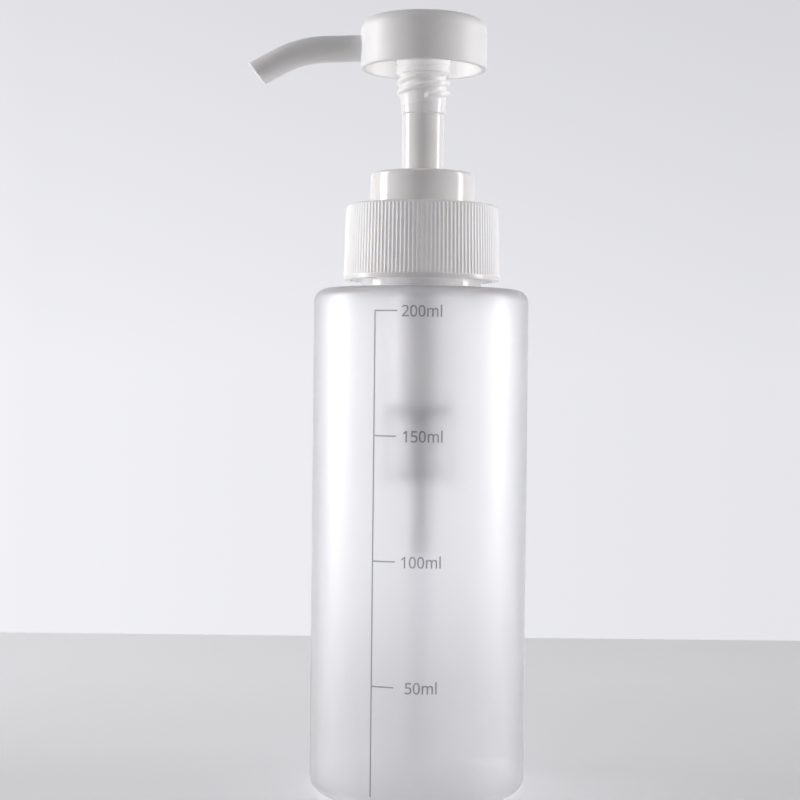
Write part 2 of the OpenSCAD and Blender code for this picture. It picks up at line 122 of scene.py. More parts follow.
# Height of a screw thread at height z and angle a. lead is the climb of one turn, p
# counts the turns at that point from where a crest begins, d is the height above the
# nearest turn, and the crest slopes from crestHalf to baseHalf and runs out over fade
# turns at both ends. Of several crests the highest counts.
def threadHeight(z, angle, thread):
    height = 0
    for begin in thread["begins"]:
        share = (angle - math.radians(begin)) / (2 * np.pi) % 1
        p = (z - thread["start"]) / thread["lead"] - share
        k = np.round(p)
        d = np.abs(p - k) * thread["lead"]
        grow = np.clip((k + share) / thread["fade"], 0, 1)
        shrink = np.clip((thread["turns"] - k - share) / thread["fade"], 0, 1)
        ends = np.minimum(grow, shrink)
        slope = (thread["baseHalf"] - d) / (thread["baseHalf"] - thread["crestHalf"])
        crest = np.clip(slope, 0, 1)
        height = np.maximum(height, ends * ends * (3 - 2 * ends) * crest * crest * (3 - 2 * crest))
    return thread["height"] * height


# Carries a circle along a path. The path's frame is its direction and the two
# directions across it. radius has one value for each point of the path.
def sweep(path, radius, sides, across, up):
    angle = np.arange(sides)[None] * 2 * np.pi / sides
    ring = (np.cos(angle)[..., None] * across[:, None]
            + np.sin(angle)[..., None] * up[:, None])
    return path[:, None] + radius[:, None, None] * ring


# Quads between the rows and columns of a grid. The columns always close.
def gridFaces(rows, columns, closeRows=False):
    i = np.arange(rows if closeRows else rows - 1)[:, None]
    j = np.arange(columns)[None]
    k, n = (j + 1) % columns, (i + 1) % rows
    quads = np.stack([i * columns + j, i * columns + k, n * columns + k, n * columns + j], -1)
    return quads.reshape(-1, 4)


# Volume inside closed quads, as the sum of their corners' triple products
def signedVolume(points, quads):
    a, b, c, d = (points[quads[:, i]] for i in range(4))
    return (np.einsum("ij,ij->i", a, np.cross(b, c)).sum()
            + np.einsum("ij,ij->i", a, np.cross(c, d)).sum()) / 6


# Puts a grid's points and quads into a new object, turned outwards if its volume is
# negative, with its doubles merged. It rides on body, takes its finishes from materials and
# may stand for CAD nodes. zones gives each quad one of the materials.
def makePiece(name, points, quads, body, materials, stands=(), zones=None, sharp=38):
    points = points.reshape(-1, 3)
    if signedVolume(points, quads) < 0:
        quads = quads[:, ::-1]
    mesh = bpy.data.meshes.new(name)
    mesh.vertices.add(len(points))
    mesh.vertices.foreach_set("co", (points * mm).astype(np.float32).ravel())
    mesh.loops.add(quads.size)
    mesh.loops.foreach_set("vertex_index", quads.astype(np.int32).ravel())
    mesh.polygons.add(len(quads))
    mesh.polygons.foreach_set("loop_start", np.arange(0, quads.size, 4, dtype=np.int32))
    if zones is not None:
        mesh.polygons.foreach_set("material_index", zones.astype(np.int32))
    mesh.update(calc_edges=True)
    merged = bmesh.new()
    merged.from_mesh(mesh)
    bmesh.ops.remove_doubles(merged, verts=merged.verts, dist=mergeWithin)
    merged.to_mesh(mesh)
    merged.free()
    mesh.shade_smooth()
    mesh.set_sharp_from_angle(angle=math.radians(sharp))
    for material in materials:
        mesh.materials.append(material)
    piece = bpy.data.objects.new(name, mesh)
    bpy.context.scene.collection.objects.link(piece)
    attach(piece, body)
    if stands:
        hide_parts(*stands)
    print("made", name, len(mesh.polygons), "faces")
    return piece


# ---- finishes ----

# Adds a shader node. An input is either a value or the socket that feeds it.
def addNode(tree, kind, inputs=None, **settings):
    node = tree.nodes.new(kind)
    for key, value in settings.items():
        setattr(node, key, value)
    for key, value in (inputs or {}).items():
        if isinstance(value, bpy.types.NodeSocket):
            tree.links.new(value, node.inputs[key])
        else:
            node.inputs[key].default_value = value
    return node


# Values from low to high become atLow to atHigh in a straight line, held at both ends
def remap(tree, value, low=0.0, high=1.0, atLow=0.0, atHigh=1.0):
    return addNode(tree, "ShaderNodeMapRange",
                   {"Value": value, "From Min": low, "From Max": high, "To Min": atLow,
                    "To Max": atHigh}).outputs[0]


# All the values multiplied together
def product(tree, *values):
    total = values[0]
    for value in values[1:]:
        total = addNode(tree, "ShaderNodeMath", {0: total, 1: value},
                        operation="MULTIPLY").outputs[0]
    return total


# A colour made lighter or darker by the factor tone
def shade(tree, colour, tone):
    return addNode(tree, "ShaderNodeVectorMath", {0: colour, "Scale": tone},
                   operation="SCALE").outputs[0]


# From one colour to another as share goes from 0 to 1
def blend(tree, share, first, second):
    first, second = ((*c, 1) if isinstance(c, tuple) else c for c in (first, second))
    return addNode(tree, "ShaderNodeMix", {"Factor": share, 6: first, 7: second},
                   data_type="RGBA").outputs[2]


# x, y and z of the place on the object or, in a world, of the ray's direction
def coordinates(tree, kind="Object"):
    place = addNode(tree, "ShaderNodeTexCoord").outputs[kind]
    return addNode(tree, "ShaderNodeSeparateXYZ", {0: place}).outputs


# One for the rays that show a thing to the camera, in gloss or through clear walls,
# and nothing for those that light matt surfaces
def seenRays(tree, path):
    seen = path.outputs["Is Camera Ray"]
    for other in ("Is Glossy Ray", "Is Transmission Ray"):
        seen = addNode(tree, "ShaderNodeMath", {0: seen, 1: path.outputs[other]},
                       operation="MAXIMUM").outputs[0]
    return seen


# A new material with one Principled shader on its output
def startFinish(name):
    material = bpy.data.materials.new(name)
    material.use_nodes = True
    tree = material.node_tree
    tree.nodes.clear()
    shader = addNode(tree, "ShaderNodeBsdfPrincipled")
    addNode(tree, "ShaderNodeOutputMaterial", {"Surface": shader.outputs["BSDF"]})
    return material, tree, shader


# A thin wall casts a light shadow: the lamps' rays pass each face dimmed by lets
def letLightIn(tree, shader, lets):
    path = addNode(tree, "ShaderNodeLightPath")
    veil = addNode(tree, "ShaderNodeBsdfTransparent", {"Color": (lets, lets, lets, 1)})
    both = addNode(tree, "ShaderNodeMixShader", {0: path.outputs["Is Shadow Ray"],
                                                 1: shader.outputs[0], 2: veil.outputs[0]})
    end = next(node for node in tree.nodes if node.bl_idname == "ShaderNodeOutputMaterial")
    tree.links.new(both.outputs[0], end.inputs["Surface"])


noiseRange = (0.3, 0.7)  # where most of the noise's values lie


# Soft noise whose patches are about size millimetres across
def cloud(tree, size, detail=2.0, stretch=(1, 1, 1)):
    place = addNode(tree, "ShaderNodeTexCoord").outputs["Object"]
    place = addNode(tree, "ShaderNodeMapping", {"Vector": place, "Scale": stretch}).outputs[0]
    noise = addNode(tree, "ShaderNodeTexNoise",
                    {"Vector": place, "Scale": 1 / (size * mm), "Detail": detail})
    return noise.outputs["Fac"]


# A moulded surface: a slow ripple from the tool and a fine grain, both as height
def mouldedBump(tree, look):
    bump = None
    for size, depth in look["relief"]:
        inputs = {"Height": cloud(tree, size), "Distance": depth * mm, "Strength": 1.0}
        if bump is not None:
            inputs["Normal"] = bump
        bump = addNode(tree, "ShaderNodeBump", inputs).outputs["Normal"]
    return bump


# Moulded plastic. Its colour varies by spread and its roughness by a tenth, clear is
# the share that is see-through, mirror dims its gloss, glow is the light that spreads
# inside it, and from polishedFrom upwards it is as smooth as polish says.
def mouldedPlastic(name, look):
    material, tree, shader = startFinish(name)
    spread, patch = look.get("spread", 0.015), look.get("patch", 9)
    tone = remap(tree, cloud(tree, patch), *noiseRange, 1 - spread, 1 + spread)
    tree.links.new(shade(tree, look["colour"], tone), shader.inputs["Base Color"])
    rough = look["roughness"]
    shine = remap(tree, cloud(tree, patch / 4), *noiseRange, rough * 0.9, rough * 1.1)
    if "polishedFrom" in look:
        dull = addNode(tree, "ShaderNodeMath",
                       {0: coordinates(tree)["Z"], 1: look["polishedFrom"] * mm},
                       operation="LESS_THAN").outputs[0]
        shine = remap(tree, dull, atLow=look["polish"], atHigh=shine)
    tree.links.new(shine, shader.inputs["Roughness"])
    shader.inputs["IOR"].default_value = look.get("ior", 1.49)
    shader.inputs["Subsurface Weight"].default_value = look.get("glow", 0)
    shader.inputs["Subsurface Radius"].default_value = (1, 0.9, 0.8)
    shader.inputs["Subsurface Scale"].default_value = look.get("glowDepth", 1) * mm
    shader.inputs["Transmission Weight"].default_value = look.get("clear", 0)
    shader.inputs["Alpha"].default_value = look.get("opacity", 1)
    shader.inputs["Specular Tint"].default_value = (*[look.get("mirror", 1)] * 3, 1)
    tree.links.new(mouldedBump(tree, look), shader.inputs["Normal"])
    if "lets" in look:
        letLightIn(tree, shader, look["lets"])
    return material


looks = {
    "frosted": {"colour": (0.97, 0.97, 0.98), "roughness": 0.31, "clear": 0.93, "mirror": 0.62,
                "spread": 0.004, "lets": 0.94, "relief": ((14, 0.01),)},
    "inner": {"colour": (0.97, 0.97, 0.98), "roughness": 0.23, "clear": 1.0, "spread": 0.002,
              "lets": 0.95, "relief": ((12, 0.01),)},
    "neck": {"colour": (0.96, 0.955, 0.96), "roughness": 0.05, "clear": 0.35, "spread": 0.002,
             "lets": 0.95, "relief": ((5, 0.01),)},
    "head": {"colour": (0.88, 0.87, 0.87), "roughness": 0.44, "glow": 0.4, "glowDepth": 2,
             "lets": 0.85, "relief": ((9, 0.012), (0.45, 0.004))},
    "hub": {"colour": (0.96, 0.94, 0.935), "roughness": 0.14, "glow": 0.6, "glowDepth": 3,
            "lets": 0.97, "relief": ((4, 0.006),)},
    "gloss": {"colour": (0.92, 0.90, 0.895), "roughness": 0.12, "glow": 0.25, "glowDepth": 1.2,
              "lets": 0.6, "relief": ((4, 0.006), (14, 0.03))},
    "closure": {"colour": (0.95, 0.93, 0.945), "roughness": 0.38, "glow": 0.5, "glowDepth": 1.5,
                "lets": 0.88, "relief": ((6, 0.01), (0.4, 0.002))},
    "natural": {"colour": (0.95, 0.95, 0.96), "roughness": 0.35, "clear": 0.5, "glow": 0.2,
                "glowDepth": 1.5, "lets": 0.9, "relief": ((8, 0.01),)},
    "barrel": {"colour": (0.96, 0.95, 0.96), "roughness": 0.35, "clear": 0.5, "glow": 0.2,
               "glowDepth": 1.5, "lets": 0.75, "polishedFrom": 116.2, "polish": 0.1,
               "relief": ((8, 0.01),)},
    "clear": {"colour": (0.95, 0.95, 0.96), "roughness": 0.15, "clear": 1.0, "spread": 0.002,
              "lets": 0.95, "ior": 1.25, "relief": ((6, 0.004),)},
    "foam": {"colour": (0.86, 0.86, 0.84), "roughness": 0.7, "relief": ((0.3, 0.02),)},
    "glass": {"colour": (0.95, 0.97, 0.98), "roughness": 0.0, "clear": 1.0, "spread": 0.001,
              "ior": 1.52, "relief": ((5, 0.0005),)},
    "ink": {"colour": (0.13, 0.115, 0.135), "roughness": 0.45, "opacity": 0.45, "spread": 0.1,
            "patch": 2, "relief": ((0.3, 0.002),)},
}
finish = {name: mouldedPlastic(name, look) for name, look in looks.items()}


# Drawn spring wire: bright steel with fine streaks, whose roughness varies by three
# tenths
def drawnWire(name, look):
    material, tree, shader = startFinish(name)
    streak = cloud(tree, look["streak"], stretch=(1, 1, look["stretch"]))
    rough = look["roughness"]
    shine = remap(tree, streak, atLow=rough * 0.7, atHigh=rough * 1.3)
    tree.links.new(shine, shader.inputs["Roughness"])
    shader.inputs["Base Color"].default_value = (*look["colour"], 1)
    shader.inputs["Metallic"].default_value = 1
    bump = addNode(tree, "ShaderNodeBump", {"Height": streak, "Distance": look["depth"] * mm})
    tree.links.new(bump.outputs["Normal"], shader.inputs["Normal"])
    return material


finish["wire"] = drawnWire("wire", {"colour": (0.56, 0.57, 0.59), "roughness": 0.25,
                                    "streak": 0.5, "stretch": 6, "depth": 0.004})
for name, look in {"housing": "barrel", "valve_cup": "clear", "valve_cup_lid": "clear",
                   "ball_cage": "natural", "inlet_ball": "glass", "dip_tube": "clear",
                   "piston": "natural", "stem_foot": "natural", "outlet_ball": "glass"}.items():
    for place in nodes[name].material_slots:
        place.material = finish[look]
print("finishes made")


# ---- bottle ----

bottle = {
    "radius": 24.97, "wall": 0.97, "shoulder": 116.1, "corner": 3.0, "heel": 3.0,
    "floor": 1.2, "pushUp": 2.0, "foot": 5.0, "columns": 256,
    "neckBore": 10.8, "neck": 12.8, "bead": 14.0, "beadHeight": 3.2, "root": 0.5, "rim": 131.6,
    "clearFrom": 0.6,
    "thread": {"start": 121.6, "lead": 4.23, "begins": (0,), "turns": 1.6, "fade": 0.12,
               "height": 1.15, "baseHalf": 1.15, "crestHalf": 0.4},
}


# A shallow dome that rises by h over a half chord c is part of a circle of radius
# (c squared + h squared) / 2h
def domeRow(chord, rise, base, count=10):
    big = (chord ** 2 + rise ** 2) / (2 * rise)
    r = np.linspace(0, chord, count)
    return [(x, base + rise - big + math.sqrt(big * big - x * x)) for x in r]


# The body's outline runs from the middle of the pushed-up base, out over the foot and
# the heel, up the wall, in over the shoulder, up the neck to its rim, and back down
# inside. The neck's radius grows by the height of its thread.
def makeBottle(b):
    foot = b["radius"] - b["heel"] - b["foot"]
    inside = b["radius"] - b["wall"]
    top = b["shoulder"]
    outer = domeRow(foot, b["pushUp"], 0)[:-1] + [
        (foot, 0, 0.4), (b["radius"], 0, b["heel"]), (b["radius"], top, b["corner"]),
        (b["bead"], top, b["root"]), (b["bead"], top + b["beadHeight"], 0.5),
        (b["neck"], top + b["beadHeight"], 0.15), (b["neck"], b["rim"], 0.5),
        (b["neckBore"], b["rim"], 0.3)]
    inner = [
        (b["neckBore"], top - b["wall"], 0.4), (inside, top - b["wall"], b["corner"] - b["wall"]),
        (inside, b["floor"], b["heel"] - b["wall"]), (foot, b["floor"], 0.4)]
    inner += domeRow(foot, b["pushUp"], b["floor"])[-2::-1]
    outline = addRows(roundCorners(outer + inner, 10),
                      dense=((top + b["beadHeight"] + 0.4, b["rim"] - 0.7, b["neck"]),))

    def grow(r, z, angle):
        side = (np.abs(r - b["neck"]) < 1e-3) & (z > top + b["beadHeight"] + 0.3)
        return r + np.where(side, threadHeight(z, angle, b["thread"]), 0)

    grid = spin(outline, b["columns"], grow)
    quads = gridFaces(len(outline), b["columns"])
    middle = (outline[1:] + outline[:-1]) / 2
    rimRow = int(np.argmax(outline[:, 1] >= b["rim"] - 1e-6))
    zone = np.where(np.arange(len(middle)) < rimRow, 0, 1)  # outside, then inside
    zone = np.where(middle[:, 1] > top + b["clearFrom"], 2, zone)  # the clear neck
    makePiece("bottleShell", grid, quads, "bottle",
              (finish["frosted"], finish["inner"], finish["neck"]),
              stands=("bottle",), zones=np.repeat(zone, b["columns"]))


makeBottle(bottle)


# ---- printed scale ----

# upright and tick are in degrees round the bottle, and wordStart and shift in
# millimetres along its round. em is the size of the letters, narrow squeezes them
# across, and bold, depth and cutOver are shares of em.
scale = {
    "line": 0.28, "outside": 24.99, "inside": 24.95, "upright": -23.97, "tick": 11.8,
    "wordStart": -4.25, "em": 3.42, "narrow": 0.93, "bold": 0.008, "low": 3.2, "step": 0.3,
    "depth": 0.5, "cutOver": 0.08,
    "shift": {"200ml": 0.0, "150ml": 0.5, "100ml": 0.4, "50ml": 1.5},
    "marks": {"50ml": 27.6, "100ml": 55.2, "150ml": 82.8, "200ml": 110.4},
}


# Point on the bottle at a distance along its round from the middle of the front:
# the angle is that distance over the radius
def wrapRound(x, z, radius):
    angle = x / scale["outside"]
    return np.stack([radius * np.sin(angle), -radius * np.cos(angle), z], -1)


# A thin bar on the round wall between two distances and two heights
def printBar(x0, x1, z0, z1):
    count = max(2, int((x1 - x0) / scale["step"]) + 1)
    x = np.linspace(x0, x1, count)[:, None]
    ringX = np.repeat(x, 4, 1)
    ringZ = np.repeat(np.array([[z0, z1, z1, z0]]), count, 0)
    radius = np.repeat(np.array([[scale["outside"]] * 2 + [scale["inside"]] * 2]), count, 0)
    grid = wrapRound(ringX, ringZ, radius)
    quads = gridFaces(count, 4)
    last = (count - 1) * 4
    ends = np.array([[3, 2, 1, 0], [last, last + 1, last + 2, last + 3]])
    return grid.reshape(-1, 3), np.vstack([quads, ends])


# The upright line and one tick at each mark, all of them bars in one piece
def makeScaleLines(s):
    toArc = s["outside"] * math.pi / 180
    x = s["upright"] * toArc
    half = s["line"] / 2
    bars = [printBar(x - half, x + half, s["low"], s["marks"]["200ml"] + half)]
    bars += [printBar(x + half, x + s["tick"] * toArc, z - half, z + half)
             for z in s["marks"].values()]
    points, quads, count = [], [], 0
    for barPoints, barQuads in bars:
        points.append(barPoints)
        quads.append(barQuads + count)
        count += len(barPoints)
    makePiece("scaleLines", np.vstack(points), np.vstack(quads), "bottle",
              (finish["ink"],))


# The plain upright letters of the mathematical alphabet, whose figure one has a flag
def plainLetters(word):
    return "".join(chr(ord(c) + (0x1D7E2 - 48 if c.isdigit() else 0x1D5BA - 97)) for c in word)


# A word is drawn flat, cut into short edges and laid on the round wall: across becomes
# the distance round it, up becomes height, and front and back become the two radii
def makeScaleWord(word, height, s):
    curve = bpy.data.curves.new("word", "FONT")
    curve.body = plainLetters(word)
    curve.extrude = s["depth"]
    curve.offset = s["bold"]
    curve.resolution_u = 6
    flat = bpy.data.objects.new("word", curve)
    bpy.context.scene.collection.objects.link(flat)
    bpy.context.view_layer.update()
    depsgraph = bpy.context.evaluated_depsgraph_get()
    mesh = bpy.data.meshes.new_from_object(flat.evaluated_get(depsgraph))
    bpy.data.objects.remove(flat)
    bpy.data.curves.remove(curve)
    cut = bmesh.new()
    cut.from_mesh(mesh)
    bmesh.ops.remove_doubles(cut, verts=cut.verts, dist=1e-5)
    bmesh.ops.triangulate(cut, faces=cut.faces)
    longEdges = [e for e in cut.edges if e.calc_length() > s["cutOver"]]
    bmesh.ops.subdivide_edges(cut, edges=longEdges, cuts=2, use_grid_fill=True)
    bmesh.ops.triangulate(cut, faces=cut.faces)
    cut.to_mesh(mesh)
    cut.free()
    co = np.zeros(len(mesh.vertices) * 3, np.float32)
    mesh.vertices.foreach_get("co", co)
    co = co.reshape(-1, 3).astype(float)
    low, high = co.min(0), co.max(0)
    start = s["wordStart"] + s["shift"][word]
    x = start + (co[:, 0] - low[0]) * s["em"] * s["narrow"]
    z = height + (co[:, 1] - (low[1] + high[1]) / 2) * s["em"]
    radius = np.where(co[:, 2] > 0, s["outside"], s["inside"])
    placed = wrapRound(x, z, radius) * mm
    mesh.vertices.foreach_set("co", placed.astype(np.float32).ravel())
    mesh.update()
    mesh.materials.clear()
    mesh.materials.append(finish["ink"])
    fixed = bmesh.new()
    fixed.from_mesh(mesh)
    bmesh.ops.recalc_face_normals(fixed, faces=fixed.faces)
    fixed.to_mesh(mesh)
    fixed.free()
    piece = bpy.data.objects.new("scale_" + word, mesh)
    bpy.context.scene.collection.objects.link(piece)
    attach(piece, "bottle")


makeScaleLines(scale)
for word, height in scale["marks"].items():
    makeScaleWord(word, height, scale)
print("scale printed")


# ---- closure ----

closure = {
    "low": 118.1, "top": 135.6, "plate": 134.1, "hole": 10.55, "topRadius": 17.85,
    "lowRadius": 18.2, "inside": 16.55, "edge": 0.6, "band": 1.1,
    "ribs": 120, "ribHeight": 0.2, "ribBase": 0.32, "ribSide": 0.18, "perRib": 10,
    "fadeLow": 0.15, "fadeTop": 0.45, "bareTop": 0.35, "bore": 14.3, "skirt": 15.6,
    "skirtLow": 118.5, "threadColumns": 192,
    "thread": {"start": 119.9, "lead": 4.23, "begins": (0,), "turns": 1.6, "fade": 0.12,
               "height": -1.1, "baseHalf": 0.9, "crestHalf": 0.35},
}


# Height of the ribs over the valleys at an angle: each rib has a flat top and two
# sloping sides, and dies away over the rounded top edge and the smooth band
def ribHeight(z, angle, c):
    share = np.abs((angle * c["ribs"] / (2 * np.pi) + 0.5) % 1 - 0.5)
    profile = np.clip((c["ribBase"] - share) / c["ribSide"], 0, 1)
    low = np.clip((z - c["low"] - c["band"]) / c["fadeLow"], 0, 1)
    high = np.clip((c["top"] - c["bareTop"] - z) / c["fadeTop"], 0, 1)
    return c["ribHeight"] * profile * low * high


# The shell tapers evenly from its lower band to its top, and its radius grows by the
# height of the ribs. The inner skirt's bore shrinks by the height of the thread.
def makeClosure(c):
    slope = (c["lowRadius"] - c["topRadius"]) / (c["top"] - c["low"])
    bandZ = c["low"] + c["band"]
    bandR = c["lowRadius"] - slope * c["band"]
    outline = roundCorners([
        (c["inside"], c["plate"]), (c["inside"], c["low"], 0.15), (c["lowRadius"], c["low"], 0.25),
        (bandR, bandZ, 0.12), (bandR - c["ribHeight"], bandZ + c["fadeLow"], 0.05),
        (c["topRadius"] - c["ribHeight"], c["top"], c["edge"]), (c["hole"], c["top"], 0.15),
        (c["hole"], c["plate"]), (c["inside"], c["plate"])], 5)[:-1]
    outline = addRows(np.vstack([outline, outline[:1]]))[:-1]

    def grow(r, z, angle):
        side = r > c["inside"] + 0.5
        return r + np.where(side, ribHeight(z, angle, c), 0)

    columns = c["ribs"] * c["perRib"]
    grid = spin(outline, columns, grow)
    quads = gridFaces(len(outline), columns, closeRows=True)
    middle = (outline[:, 1] + np.roll(outline[:, 1], -1)) / 2
    makePiece("closureShell", grid, quads, "closure", (finish["closure"], finish["gloss"]),
              stands=("closure",), sharp=50,
              zones=np.repeat(np.where(middle < bandZ - 0.1, 1, 0), columns))

    inner = roundCorners([
        (c["skirt"], c["plate"] + 0.3), (c["skirt"], c["skirtLow"], 0.2),
        (c["bore"], c["skirtLow"], 0.3), (c["bore"], c["plate"] + 0.3)], 4)
    inner = addRows(inner, dense=((c["skirtLow"] + 0.6, c["plate"] - 0.2, c["bore"]),))

    def growIn(r, z, angle):
        side = np.abs(r - c["bore"]) < 1e-3
        return r + np.where(side, threadHeight(z, angle, c["thread"]), 0)

    columns = c["threadColumns"]
    makePiece("closureThread", spin(inner, columns, growIn), gridFaces(len(inner), columns, True),
              "closure", (finish["closure"],))


makeClosure(closure)


# ---- gasket ----

gasket = {"inside": 9.2, "outside": 13.1, "low": 131.6, "top": 132.6, "edge": 0.18,
          "columns": 192}


# Flat ring on the neck's rim with soft edges, narrow enough to pass the closure's thread
def makeGasket(g):
    middle = (g["inside"], (g["low"] + g["top"]) / 2)
    outline = roundCorners([
        middle, (g["inside"], g["low"], g["edge"]), (g["outside"], g["low"], g["edge"]),
        (g["outside"], g["top"], g["edge"]), (g["inside"], g["top"], g["edge"]), middle], 5)[:-1]
    makePiece("gasketRing", spin(outline, g["columns"]),
              gridFaces(len(outline), g["columns"], True), "seal", (finish["foam"],),
              stands=("gasket",))


makeGasket(gasket)


# ---- collar ----

collar = {
    "radius": 12.15, "low": 135.7, "top": 143.2, "edge": 0.9, "wall": 1.1, "columns": 256,
    "socket": 6.5, "socketZ": 137.5, "socketFloor": 136.3, "guideBore": 4.99,
    "guide": 6.4, "guideZ": 129.0, "snap": 8.9, "snapOut": 10.3, "snapZ": 134.0,
    "beadZ": 135.1, "beadHeight": 0.3, "beadHalf": 0.5, "plate": 1.5,
    "thread": {"start": 138.6, "lead": 4.9, "begins": (60, 240), "turns": 0.85, "fade": 0.08,
               "height": -0.95, "baseHalf": 0.85, "crestHalf": 0.3},
}


# One turned outline: the outer wall, the socket, the guide that the stem slides in, and
# the skirt with the bead that snaps on the housing. The socket's bore shrinks by the
# height of its two-start lock thread.
def makeCollar(c):
    underTop = c["top"] - c["plate"]
    outline = roundCorners([
        (c["radius"] - c["wall"], c["low"], 0.1), (c["radius"], c["low"], 0.2),
        (c["radius"], c["top"], c["edge"]), (c["socket"], c["top"], 0.4),
        (c["socket"], c["socketZ"], 0.2), (c["guideBore"], c["socketZ"], 0.2),
        (c["guideBore"], c["guideZ"], 0.15), (c["guide"], c["guideZ"], 0.15),
        (c["guide"], c["socketFloor"]), (c["socket"] + c["wall"], c["socketFloor"]),
        (c["socket"] + c["wall"], underTop), (c["snap"], underTop),
        (c["snap"], c["beadZ"] + c["beadHalf"]), (c["snap"] + c["beadHeight"], c["beadZ"]),
        (c["snap"], c["beadZ"] - c["beadHalf"]), (c["snap"], c["snapZ"]),
        (c["snapOut"], c["snapZ"], 0.15),
        (c["snapOut"], underTop), (c["radius"] - c["wall"], underTop),
        (c["radius"] - c["wall"], c["low"] + 0.15)], 8)
    outline = addRows(outline, dense=((c["socketZ"] + 0.3, c["top"] - 0.5, c["socket"]),))

    def grow(r, z, angle):
        side = (np.abs(r - c["socket"]) < 1e-3) & (z > c["socketZ"] + 0.2) & (z < c["top"] - 0.4)
        return r + np.where(side, threadHeight(z, angle, c["thread"]), 0)

    makePiece("collarShell", spin(outline, c["columns"], grow),
              gridFaces(len(outline), c["columns"], True), "pump_unit", (finish["gloss"],),
              stands=("collar",))


makeCollar(collar)


# ---- stem and spring ----

stem = {
    "radius": 4.9, "spigot": 3.6, "bore": 2.2, "low": 122.0, "shoulder": 127.8,
    "sleeve": 156.85, "top": 170.05, "cage": 2.6, "seat": 162.1, "hole": 1.3, "columns": 128,
    "ledge": 0.35, "chamfer": 1.2, "seatDepth": 1.2,
}


# One turned outline: the tube, its shoulder over the spigot, and the cage and seat of
# the outlet ball in its bore
def makeStem(s):
    neck = s["seat"] - s["seatDepth"]
    outline = roundCorners([
        (s["bore"], s["low"]), (s["spigot"], s["low"], 0.15), (s["spigot"], s["shoulder"]),
        (s["spigot"] + s["ledge"], s["shoulder"]),
        (s["radius"], s["shoulder"] + s["chamfer"], 0.3),
        (s["radius"], s["sleeve"]), (s["spigot"], s["sleeve"]), (s["spigot"], s["top"]),
        (s["cage"], s["top"]), (s["cage"], s["seat"] + s["cage"] - s["hole"]),
        (s["hole"], s["seat"]), (s["hole"], neck), (s["bore"], neck), (s["bore"], s["low"] + 0.01)])
    outline = addRows(outline)
    makePiece("stemTube", spin(outline, s["columns"]), gridFaces(len(outline), s["columns"], True),
              "actuator", (finish["gloss"],), stands=("stem",))


makeStem(stem)

spring = {"coil": 4.25, "wire": 0.45, "low": 90.2, "top": 119.4, "turns": 9, "perTurn": 40,
          "sides": 12, "stroke": 15.5, "endPitch": 1.02}


# Helix whose height climbs evenly between one closed turn at each end. A closed turn
# climbs by the wire's thickness and a little air. The wire's radius shrinks to nothing
# at both ends.
def makeSpring(s):
    t = np.linspace(0, s["turns"], s["turns"] * s["perTurn"] + 1)
    angle = 2 * np.pi * t
    closeUp = 2 * s["wire"] * s["endPitch"]
    low = s["low"] + 3 * s["wire"]
    rise = s["top"] - s["low"] - 6 * s["wire"]
    climb = np.clip((t - 1) / (s["turns"] - 2), 0, 1)
    z = (low + rise * climb - closeUp * (1 - np.minimum(1, t))
         + closeUp * (1 - np.minimum(1, s["turns"] - t)))
    out = np.stack([np.cos(angle), np.sin(angle), 0 * angle], -1)
    path = out * s["coil"]
    path[:, 2] = z
    path = np.vstack([path[:1], path, path[-1:]])
    out = np.vstack([out[:1], out, out[-1:]])
    radius = np.r_[0, np.full(len(t), s["wire"]), 0]
    up = np.repeat(np.array([[0.0, 0.0, 1.0]]), len(path), 0)
    grid = sweep(path, radius, s["sides"], out, up)
    piece = makePiece("springCoil", grid, gridFaces(len(path), s["sides"]), "pump_unit",
                      (finish["wire"],), stands=("spring",), sharp=60)
    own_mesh(piece)


makeSpring(spring)


# ---- head ----

head = {
    "radius": 14.75, "rim": 167.5, "top": 179.2, "wall": 1.3, "plate": 1.6, "edge": 3.0,
    "boss": 6.3, "bossZ": 166.2, "bore": 3.65, "boreTop": 170.1, "channel": 1.8,
    "groove": 0.2, "grooveFrom": 0.3, "grooveTo": 2.9, "grooveReach": 0.75, "sink": 0.3,
    "threadZ": 159.4, "root": 5.25, "sleeve": 5.15, "sleeveZ": 156.9, "columns": 256,
    "thread": {"start": 160.7, "lead": 4.9, "begins": (-90, 90), "turns": 1.9, "fade": 0.04,
               "height": 0.93, "baseHalf": 0.95, "crestHalf": 0.28},
}
nozzle = {
    "radius": 3.1, "bore": 1.8, "z": 172.85, "run": 22.9, "fall": 2.0, "bend": 24.0,
    "turn": 26.5, "tip": 6.3, "slant": 10.5, "start": 5.5, "lip": 0.25, "sides": 96,
    "runRows": 8, "bendRows": 24, "tipRows": (0.3, 0.6, 0.8, 0.92, 1.0), "lipRows": 5,
}


